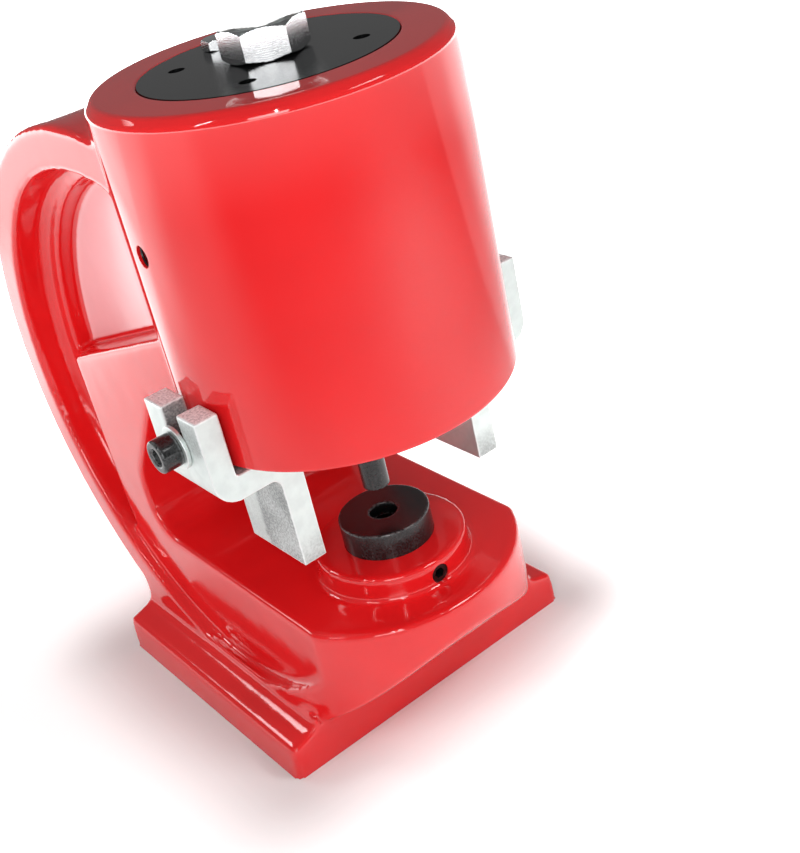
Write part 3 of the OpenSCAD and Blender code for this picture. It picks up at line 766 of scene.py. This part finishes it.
# %% Handle holes
mounts = {mount["name"]: mount for mount in frame["record"]["mounts"]}
hole_core = mounts["left_handle_hole"]["dims"]["r_mm"]
hole_depth = mounts["left_handle_hole"]["dims"]["length_mm"]
hole_major, hole_pitch, hole_lip = 4.0, 1.25, 0.2
thread_gap = 0.05
drill_past = 1
drill_steps = 48


def hole_place(name):
    """A matrix that lays the Z axis along a hole, outward, from the middle of its length."""
    turn = Vector(mounts[name]["axis"]).to_track_quat("Z", "X").to_matrix()
    return Matrix.Translation(mounts[name]["pos_m"]) @ turn.to_4x4()


hole_places = [hole_place("left_handle_hole"), hole_place("right_handle_hole")]
deep, out = -hole_depth / 2, hole_depth / 2
drill_profile = [
    (0.0, deep), (hole_major, deep), (hole_major, out - hole_lip - thread_gap),
    (hole_major + hole_lip + drill_past, out + drill_past), (0.0, out + drill_past),
]
drill = turned("handle_drill", drill_profile, hole_places, steps=drill_steps)
applied(barrel, "BOOLEAN", operation="DIFFERENCE", object=drill, solver="EXACT")
bpy.data.objects.remove(drill)
crease(barrel, 40)
settle(barrel, "frame_body", red_turned, ["cylinder_barrel"])

# %% Thread in the handle holes
thread_steps = 32
ridge_half = 0.44 * hole_pitch
crest_half = ridge_half / 4
ridge = [(hole_major, -ridge_half), (hole_core, -crest_half),
         (hole_core, crest_half), (hole_major, ridge_half)]
thread_count = int((out - hole_lip - deep - hole_pitch) / hole_pitch * thread_steps)
thread_rise = hole_pitch * thread_count / thread_steps
hole_thread = wound(
    "handle_hole_threads", ridge, deep + hole_pitch / 2, thread_rise, thread_count, thread_steps,
    hole_places)
crease(hole_thread, 30)
settle(hole_thread, "frame_body", black_oxide)

# %% [markdown]
# ## The clamps
# Each clamp is a bent bar with a fork on top. Its wide faces are rolled smooth. The tops of
# the prongs, the slot, the leg's outer face and its toe are rough, so their points are pushed
# in and out by noise, and the marks that the zinc reads are left on them.

# %% Where the clamps are rough
slot_half, slot_drop = 6 * MM, 9 * MM
toe_h = 14 * MM
top_skin = 2 * MM
ragged, ragged_per_m = 2 * MM, 300
facing, across = 0.8, 0.6
leg_behind, prong_share, toe_share = 0.4, 0.6, 0.8
screws_low, screws_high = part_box("clamp_screws")
screw_axis_z = (screws_low.z + screws_high.z) / 2


def noise_at(spots, per_metre):
    """Smooth noise at each point, with so many lumps to the metre."""
    return np.array([noise.noise(Vector(point) * per_metre) for point in spots])


def saw_marks(spots, normals, low, high):
    """Where a clamp is rough (slot, shelf, leg, prong and toe) and its saw-cut tops, painted light.
    """
    out_x, y, z = np.abs(spots[:, 0]), spots[:, 1], spots[:, 2]
    between = (abs(low.x) + abs(high.x)) / 2
    outward = normals[:, 0] * np.sign(spots[:, 0]) > facing
    upward = normals[:, 2] > facing
    toe_side = (normals[:, 1] < -facing) | (normals[:, 2] < -facing)
    front = y + ragged * noise_at(spots, ragged_per_m) < slot_half
    leg = (outward & (out_x < between)) * np.where(front, 1.0, leg_behind)
    prong = outward & (out_x > between) & (y < -slot_half) & (z > screw_axis_z)
    in_slot = (np.abs(y) < slot_half) & (z > screw_axis_z - slot_drop)
    slot = in_slot & (np.abs(normals[:, 0]) < across)
    shelf = upward & (out_x > between - slot_half) & (z < screw_axis_z)
    toe = np.clip((low.z + toe_h - z) / toe_h, 0, 1) * toe_side
    # Saw-cut prong tops, which the zinc paints light, as if lit from above.
    sawn_lit_top = upward & (z > high.z - top_skin)
    rough = np.max([leg, slot, shelf, prong_share * prong, toe_share * toe], axis=0)
    return rough, sawn_lit_top.astype(float)


print("clamp screws lie at a height in mm of", round(screw_axis_z / MM, 2))

# %% Clamps
clamp_cube = 0.5 * MM
clamp_rounds, blur_rounds = 4, 3
clamp_share = 0.5
lumps_per_m, lump_mm = 900, 0.10
waves_per_m, wave_mm = 220, 0.05
shrink_mm = 0.06
clamp_fold = 26


def roughened(clamp, uneven):
    """Push the points of a clamp in and out, most where it is uneven."""
    spots, normals = points_of(clamp), normals_of(clamp)
    lumps = np.array([noise.fractal(Vector(p) * lumps_per_m, 1.0, 2.0, 3) for p in spots])
    push = lump_mm * uneven * lumps + wave_mm * noise_at(spots, waves_per_m) - shrink_mm
    clamp.data.vertices.foreach_set("co", (spots + normals * push[:, None] * MM).ravel())
    clamp.data.update()


def make_clamp(side):
    node = side + "_clamp"
    clamp = solid_copy(node + "_plated", node)
    applied(clamp, "REMESH", mode="VOXEL", voxel_size=clamp_cube)
    soften(clamp, clamp_rounds, np.ones(len(clamp.data.vertices)))
    pairs = edges_of(clamp)
    coarse, sawn_lit_top = saw_marks(points_of(clamp), normals_of(clamp), *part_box(node))
    for _ in range(blur_rounds):
        coarse = average_of_neighbours(coarse, pairs)
        sawn_lit_top = average_of_neighbours(sawn_lit_top, pairs)
    roughened(clamp, coarse + sawn_lit_top)
    worn = sharpness(clamp, clamp_fold)
    worn = 0.5 * worn + 0.5 * average_of_neighbours(worn, pairs)
    note(clamp, "coarse", coarse)
    # The saw-cut tops' mark, which the zinc reads to paint them light.
    note(clamp, "sawn_lit_top", sawn_lit_top)
    note(clamp, "worn", np.clip(worn * 1.5 - 0.5, 0, 1))
    applied(clamp, "DECIMATE", ratio=clamp_share)
    clamp.data.shade_smooth()
    settle(clamp, node + "_body", zinc_plate, [node])


make_clamp("left")
make_clamp("right")

# %% [markdown]
# ## Clamp screws and washers
# A socket screw is turned and its socket is pressed in, so the head has a rounded outer edge,
# a small cone at the socket's mouth and a hexagon below it. All of that is one stack of rings.
# The pair of screws is one solid, so both are skinned into one mesh.

# %% Screws
def along_x(side, x_mm, z_m):
    """A matrix that lays the Z axis along X, outward on one side."""
    turn = Matrix.Rotation(math.radians(90 * side), 4, "Y")
    return Matrix.Translation((side * x_mm * MM, 0, z_m)) @ turn


washer_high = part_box("clamp_washers")[1]
washer_r = (washer_high.z - screw_axis_z) / MM
head_x = washer_high.x / MM
head_r = (screws_high.z - screw_axis_z) / MM
head_h = screws_high.x / MM - head_x
head_round, under_bevel = 1.1, 0.5
shank_r, point_bevel, in_barrel = 4.0, 0.8, 14
shank_end = -(head_x - barrel_r + in_barrel)
socket_half, socket_depth, socket_tip = 3.0, 4.0, 0.6
socket_corner = socket_half / math.cos(math.pi / 6)
socket_mouth = [(0.9, 0), (0.45, 0.1), (0.15, 0.35)]
mouth_depth = 0.7
head_rings = [
    (AXIS, shank_end), (shank_r - point_bevel, shank_end), (shank_r, shank_end + point_bevel),
    (shank_r, 0.0), (head_r - under_bevel, 0.0), (head_r, under_bevel),
]
for t in np.linspace(0, math.pi / 2, 7):
    rim = Vector((math.cos(t) - 1, math.sin(t) - 1)) * head_round
    head_rings.append((head_r + rim.x, head_h + rim.y))
head_rings += [(socket_corner + wider, head_h - lower) for wider, lower in socket_mouth]
head_rings += [
    (flats(socket_half), head_h - mouth_depth), (flats(socket_half), head_h - socket_depth),
    (AXIS, head_h - socket_depth - socket_tip),
]
screw_places = [along_x(side, head_x, screw_axis_z) for side in (-1, 1)]
clamp_screws = turned("clamp_socket_screws", held(head_rings), screw_places)
crease(clamp_screws, 50)
rub(clamp_screws, 40)
settle(clamp_screws, "frame_body", black_oxide, ["clamp_screws"])

# %% Washers
washer_bore = shank_r + 0.4
washer_gap = 0.05
washer_round = 0.35
washer_t = head_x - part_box("right_clamp")[1].x / MM - washer_gap
washer_profile = [
    (washer_bore, -washer_t), (washer_r, -washer_t), (washer_r, 0.0), (washer_bore, 0.0),
]
washers = turned("clamp_washers_plated", held(rounded(washer_profile, washer_round)), screw_places)
rub(washers, 30, 0.6)
settle(washers, "frame_body", zinc_plate, ["clamp_washers"])

# %% [markdown]
# ## Punch, nut and die
# The punch hangs from the ram's nose in a hexagonal nut. Punch and die are turned and ground,
# and use has taken the edge off their corners, so all of those are rounded a little. The nut's
# corners are turned off, which leaves the curved edges that every hexagon nut has.

# %% Punch
punch_low, punch_high = box_mm("punch")
punch_r = 5.5
punch_head_h = 4
punch_round = 0.4
head_low = punch_high.z - punch_head_h
punch_profile = [
    (AXIS, punch_low.z), (punch_r, punch_low.z), (punch_r, head_low), (punch_high.x, head_low),
    (punch_high.x, punch_high.z), (AXIS, punch_high.z),
]
punch = turned("punch_ground", held(rounded(punch_profile, punch_round)))
rub(punch, 40)
settle(punch, "ram_body", black_oxide, ["punch"])


# %% Hexagons
def hexagon_rings(half, low, high, chamfer_deg=30, rise=7, face_share=0.95):
    """The outside of a hexagon nut from low to high, with its corners turned off."""
    face = face_share * half
    corner = half / math.cos(math.pi / 6)
    drop = (corner - face) * math.tan(math.radians(chamfer_deg))
    cones = [(face + (corner - face) * k / rise, drop * k / rise) for k in range(rise + 1)]
    rings = [(trimmed(r, half), low + z) for r, z in cones]
    return rings + [(trimmed(r, half), high - z) for r, z in reversed(cones)]


nut_low, nut_high = box_mm("punch_nut")
nut_half = min(nut_high.x, nut_high.y)
ram_nose_r = 15.0
nut_floor, nut_pocket, nut_lead = nut_low.z + 2, nut_low.z + 6, 0.4
slip = 0.02
head_hole, shaft_hole = punch_high.x + slip, punch_r + slip
nut_rings = hexagon_rings(nut_half, nut_low.z, nut_high.z) + [
    (ram_nose_r, nut_high.z), (ram_nose_r, nut_pocket), (head_hole, nut_pocket),
    (head_hole, nut_floor), (shaft_hole, nut_floor), (shaft_hole, nut_low.z + nut_lead),
    (shaft_hole + nut_lead, nut_low.z),
]
nut = turned("punch_nut_hexagon", held(nut_rings), steps=HEX_STEPS)
crease(nut, 35)
rub(nut, 40)
settle(nut, "ram_body", black_oxide, ["punch_nut"])

# %% Die
die_gap, die_relief, die_land, die_round = 0.25, 1.5, 6.0, 0.7
die_hole = punch_r + die_gap
die_bottom, die_top = die_low.z / MM, die_high.z / MM
die_profile = [
    (die_hole + die_relief, die_bottom), (die_r / MM, die_bottom), (die_r / MM, die_top),
    (die_hole, die_top), (die_hole, die_top - die_land), (die_hole + die_relief, die_top - die_land),
]
die = turned("die_ring", held(rounded(die_profile, die_round)))
rub(die, 40)
settle(die, "frame_body", black_oxide, ["die"])

# %% [markdown]
# ## The oil connection
# On the lid sits one half of a quick coupler: a hexagon nipple, a plated body with the groove
# that the hose's balls lock into, and a spring-loaded poppet that shuts the oil in.

# %% Port adapter
adapter_low, adapter_high = box_mm("port_adapter")
adapter_half = min(adapter_high.x, adapter_high.y)
adapter_bore = 4.0
port_r, port_bevel = 8.3, 0.8
adapter_hex_h = 12
hex_top = top_z + adapter_hex_h
adapter_rings = [
    (adapter_bore, adapter_low.z), (port_r - port_bevel, adapter_low.z),
    (port_r, adapter_low.z + port_bevel), (port_r, top_z),
]
adapter_rings += hexagon_rings(adapter_half, top_z, hex_top)
adapter_rings += [
    (port_r, hex_top), (port_r, adapter_high.z - port_bevel),
    (port_r - port_bevel, adapter_high.z), (adapter_bore, adapter_high.z),
]
adapter = turned("port_adapter_hexagon", adapter_rings, steps=HEX_STEPS)
crease(adapter, 35)
settle(adapter, "frame_body", bright_steel, ["port_adapter"])

# %% Coupler body
coupler_low, coupler_high = box_mm("coupler_body")
coupler_half = min(coupler_high.x, coupler_high.y)
coupler_hex_h = 14
neck_z = coupler_low.z + coupler_hex_h
nipple_r, nipple_tip_r, nipple_nose, nipple_round = 12.0, 9.5, 7, 0.6
groove_r = nipple_r - 1.5
groove_z = [neck_z + rise for rise in (14, 14.8, 18.2, 19)]
mouth_r, mouth_wide, mouth_bevel = 4.55, 5.0, 0.4
chamber_r, seat_z = 6.0, coupler_high.z - 8
nipple_profile = [
    (nipple_r, neck_z), (nipple_r, groove_z[0]), (groove_r, groove_z[1]), (groove_r, groove_z[2]),
    (nipple_r, groove_z[3]), (nipple_r, coupler_high.z - nipple_nose),
    (nipple_tip_r, coupler_high.z), (mouth_r, coupler_high.z),
]
per_corner = ROUND_STEPS + 1
coupler_rings = [(port_r, coupler_low.z)] + hexagon_rings(coupler_half, coupler_low.z, neck_z)
coupler_rings += rounded(nipple_profile, nipple_round)[per_corner:-per_corner]
coupler_rings += [
    (mouth_wide, coupler_high.z), (mouth_r, coupler_high.z - mouth_bevel), (mouth_r, seat_z),
    (chamber_r, seat_z), (chamber_r, adapter_high.z), (port_r, adapter_high.z),
]
coupler = turned("coupler_body_plated", coupler_rings, steps=HEX_STEPS)
crease(coupler, 35)
rub(coupler, 30, 0.6)
settle(coupler, "frame_body", zinc_plate, ["coupler_body"])

# %% Poppet
poppet_low, poppet_high = box_mm("coupler_poppet")
stem_r, flange_top, poppet_round = 4.5, poppet_low.z + 8, 0.6
poppet_profile = [
    (AXIS, poppet_low.z), (poppet_high.x, poppet_low.z), (poppet_high.x, flange_top),
    (stem_r, flange_top), (stem_r, poppet_high.z), (AXIS, poppet_high.z),
]
poppet = turned("coupler_poppet_turned", rounded(poppet_profile, poppet_round))
settle(poppet, "poppet_body", bright_steel, ["coupler_poppet"])

# %% [markdown]
# ## The bleed screw
# A small hexagon screw beside the coupler lets trapped air out of the cylinder. It has the
# same turned corners as the nuts, so the same rings make its head.

# %% Bleed screw
bleed_low, bleed_high = box_mm("bleed_screw")
bleed_half = (bleed_high.y - bleed_low.y) / 2
bleed_place = Matrix.Translation((0, (bleed_low.y + bleed_high.y) / 2 * MM, 0))
bleed_r, bleed_bevel = 3.0, 0.5
bleed_rings = [
    (AXIS, bleed_low.z), (bleed_r - bleed_bevel, bleed_low.z),
    (bleed_r, bleed_low.z + bleed_bevel), (bleed_r, top_z),
]
bleed_rings += hexagon_rings(bleed_half, top_z, bleed_high.z) + [(AXIS, bleed_high.z)]
bleed = turned("bleed_screw_hexagon", bleed_rings, [bleed_place])
crease(bleed, 35)
settle(bleed, "frame_body", bright_steel, ["bleed_screw"])

# %% [markdown]
# ## The springs
# A coil spring is a round wire along a helix. A curve with a bevel would draw it, but a spring
# here has to shorten with the ram, and only a mesh can be squashed, so a circle is wound up
# the helix. The length that is left at the end of the travel follows from the slide's range.

# %% Springs
wire_sides = 14
coil_steps = 40
joints = frame["record"]["behaviour"]["joints"]
travel = {joint["name"]: joint["range_m"][1] / MM for joint in joints}


def fit_spring(name, node, wire, turns, joint):
    """Wind a spring in the space of its solid, from wire of that diameter in millimetres."""
    low, high = box_mm(node)
    length = high.z - low.z
    wire_r = wire / 2
    mean_r = max(high.x, -low.x) - wire_r
    angles = [2 * math.pi * k / wire_sides for k in range(wire_sides)]
    section = [(mean_r + wire_r * math.cos(a), wire_r * math.sin(a)) for a in angles]
    spring = wound(name, section, low.z + wire_r, length - wire, turns * coil_steps, coil_steps)
    crease(spring, 60)
    settle(spring, "frame_body", bright_steel, [node])
    keep = 1 - travel[joint] / length
    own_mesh(spring)
    print(node, "keeps", round(keep, 3), "of its length")


fit_spring("return_spring_coil", "return_spring", wire=5.0, turns=4, joint="ram_slide")
fit_spring("poppet_spring_coil", "poppet_spring", wire=1.2, turns=6, joint="poppet_slide")

# %% [markdown]
# ## The pieces that keep their solids
# The lid, the ram, the piston with its rings, the bush and the small screws are plain turned
# parts whose solids are right as they are. They only take a finish.

# %% Finishes on the solids
finishes = {
    "end_cap": black_oxide, "piston_screw": black_oxide, "die_set_screw": black_oxide,
    "ram": bright_steel, "piston": bright_steel, "guide_bush": bronze,
    "end_cap_seal": rubber, "rod_wiper": rubber, "piston_seal": rubber,
    "backup_ring": cream, "wear_ring": brown,
}
for node, material in finishes.items():
    solids[node].data.materials.clear()
    solids[node].data.materials.append(material)
print("solids that keep their mesh:", len(finishes))


# %% [markdown]
# ## The studio
# The tool stands on a pale table in soft white light. Upright faces seen from above mirror the
# table and not the lamps, so the table paints the sheen on the red paint. Lamps behind on the
# left and in front on the right throw bright pools on it, which show as the cylinder's two
# pale sides and on the frame's flanks. Between them, below the camera, the table stays dim,
# and the paint is deep red there. The table itself is a backlit sheet that glows in zones: round
# the foot and in the tool's shade, so that the shadow stays faint, behind the tool and on both
# sides of it, in a patch that the cylinder's left side mirrors, and strongly far away, where
# it fades into white. Each zone has a strength and the distances, in metres, between which it
# fades in or out.

# %% Zones of the table
FAR_GLOW, far_fade = 4.0, (0.9, 2.0)
MID_GLOW, mid_fade = 0.5, (0.78, 1.0)
FOOT_GLOW, foot_fade, foot_end = 0.52, (0.0, 0.055), (0.16, 0.4)
SHADE_GLOW, shade_fade, shade_end, shade_side = 0.5, (0.0, 0.06), (0.12, 0.3), (0.03, 0.1)
BACK_GLOW, back_fade, back_x, back_y = 0.58, (0.12, 0.4), 0.3, 0.95
RIGHT_GLOW, right_fade, right_y = 0.40, (0.34, 0.44), 1.2
LEFT_GLOW, left_fade, left_front = 0.5, (0.25, 0.45), (-0.25, 0.1)
SHEEN_GLOW, sheen_fade = 0.9, (0.14, 0.32)
sheen_x, sheen_y = -0.08, 0.66
foot = [vertex.co for vertex in solids["c_frame"].data.vertices if vertex.co.z < base_skin]
foot_half = max(point.x for point in foot)
foot_front, foot_back = min(point.y for point in foot), max(point.y for point in foot)
print("foot in mm:", [round(edge / MM, 1) for edge in (foot_half, foot_front, foot_back)])


# %% Table
def outside(signal, limit):
    """How far a coordinate lies beyond a limit, on either side of zero."""
    beyond = (signal * signal) ** 0.5 - limit
    return signal.node("Math", {"operation": "MAXIMUM"}, {0: beyond, 1: 0.0})


def table_glow(s):
    """How strongly the table glows at a point."""
    x, y, _ = split(place(s))
    beside = outside(x, foot_half)
    beyond = outside(y - (foot_back + foot_front) / 2, (foot_back - foot_front) / 2)
    from_foot = (beside * beside + beyond * beyond) ** 0.5
    from_punch = (x * x + y * y) ** 0.5
    from_sheen = ((x - sheen_x) ** 2 + (y - sheen_y) ** 2) ** 0.5
    far = ease(from_punch, *far_fade)
    midway = ease(from_punch, *mid_fade)
    behind = ease(y * back_y + x * back_x, *back_fade)
    on_right = ease(x + y * right_y, *right_fade)
    on_left = ease(x * -1, *left_fade) * ease(y, *left_front)
    round_foot = ease(from_foot, *foot_fade) * (1 - ease(from_foot, *foot_end))
    in_shade = ease(from_foot, *shade_fade) * (1 - ease(from_foot, *shade_end)) * ease(x, *shade_side)
    near = midway * MID_GLOW + behind * BACK_GLOW + on_right * RIGHT_GLOW + on_left * LEFT_GLOW
    glow = far * FAR_GLOW + near * (1 - far) + round_foot * FOOT_GLOW + in_shade * SHADE_GLOW
    return glow + (1 - ease(from_sheen, *sheen_fade)) * SHEEN_GLOW


def table_top(s):
    glow = table_glow(s)
    return {
        "Base Color": blend(grain(s, 180, 3.0), (0.80, 0.80, 0.80, 1), (0.84, 0.84, 0.835, 1)),
        "Roughness": 0.75 + grain(s, 30) * 0.1,
        "Specular IOR Level": 0.1,
        "Emission Color": s.node("CombineColor", {}, {"Red": glow, "Green": glow, "Blue": glow}),
        "Emission Strength": 1.0,
    }


table_half = 8.0
table_drop = 0.2 * MM
sheet = bmesh.new()
corners = [(-1, -1), (1, -1), (1, 1), (-1, 1)]
sheet.faces.new([
    sheet.verts.new((x * table_half, y * table_half, -table_drop)) for x, y in corners])
table = piece_from("table", sheet)
table.data.materials.append(finish("table_top", table_top))

# %% [markdown]
# ## Lamps
# Three soft lamps make the light. The two long, narrow ones hang high on the left: they add
# hardly any light, but every rounded edge and hollow of the paint and the plating finds them,
# and they draw the thin white glints there.

# %% Lamps
ROOM_LIGHT = 0.22
world = bpy.data.worlds.new("white_room")
bpy.context.scene.world = world
world.use_nodes = True
world.node_tree.nodes["Background"].inputs["Color"].default_value = (1, 1, 1, 1)
world.node_tree.nodes["Background"].inputs["Strength"].default_value = ROOM_LIGHT
middle = (cad_low + cad_high) / 2


def lamp(name, at, size, watts, spread_deg, aim=middle):
    """A soft lamp, so wide and so high, that faces a point and lights a cone around it."""
    light = bpy.data.lights.new(name, "AREA")
    light.shape = "RECTANGLE"
    light.size, light.size_y = size
    light.energy = watts
    light.spread = math.radians(spread_deg)
    made = bpy.data.objects.new(name, light)
    made.location = at
    made.rotation_euler = (Vector(aim) - Vector(at)).to_track_quat("-Z", "Y").to_euler()
    bpy.context.scene.collection.objects.link(made)


lamp("front_lamp", (-0.75, -0.95, 0.55), (0.5, 0.5), 0.6, 60)
lamp("back_pool", (-0.45, 0.85, 0.8), (0.3, 0.3), 1.25, 80, (-0.28, 0.62, 0))
lamp("front_pool", (0.36, -0.62, 0.75), (0.3, 0.3), 1.7, 76, (0.22, -0.44, 0))
lamp("left_strip", (-0.92, -0.1, 1.0), (0.03, 0.6), 0.2, 50)
lamp("front_strip", (-0.5, -0.75, 1.0), (0.02, 0.6), 0.16, 50)
bpy.context.scene.view_settings.view_transform = "Standard"
print("lamps:", len(bpy.data.lights))
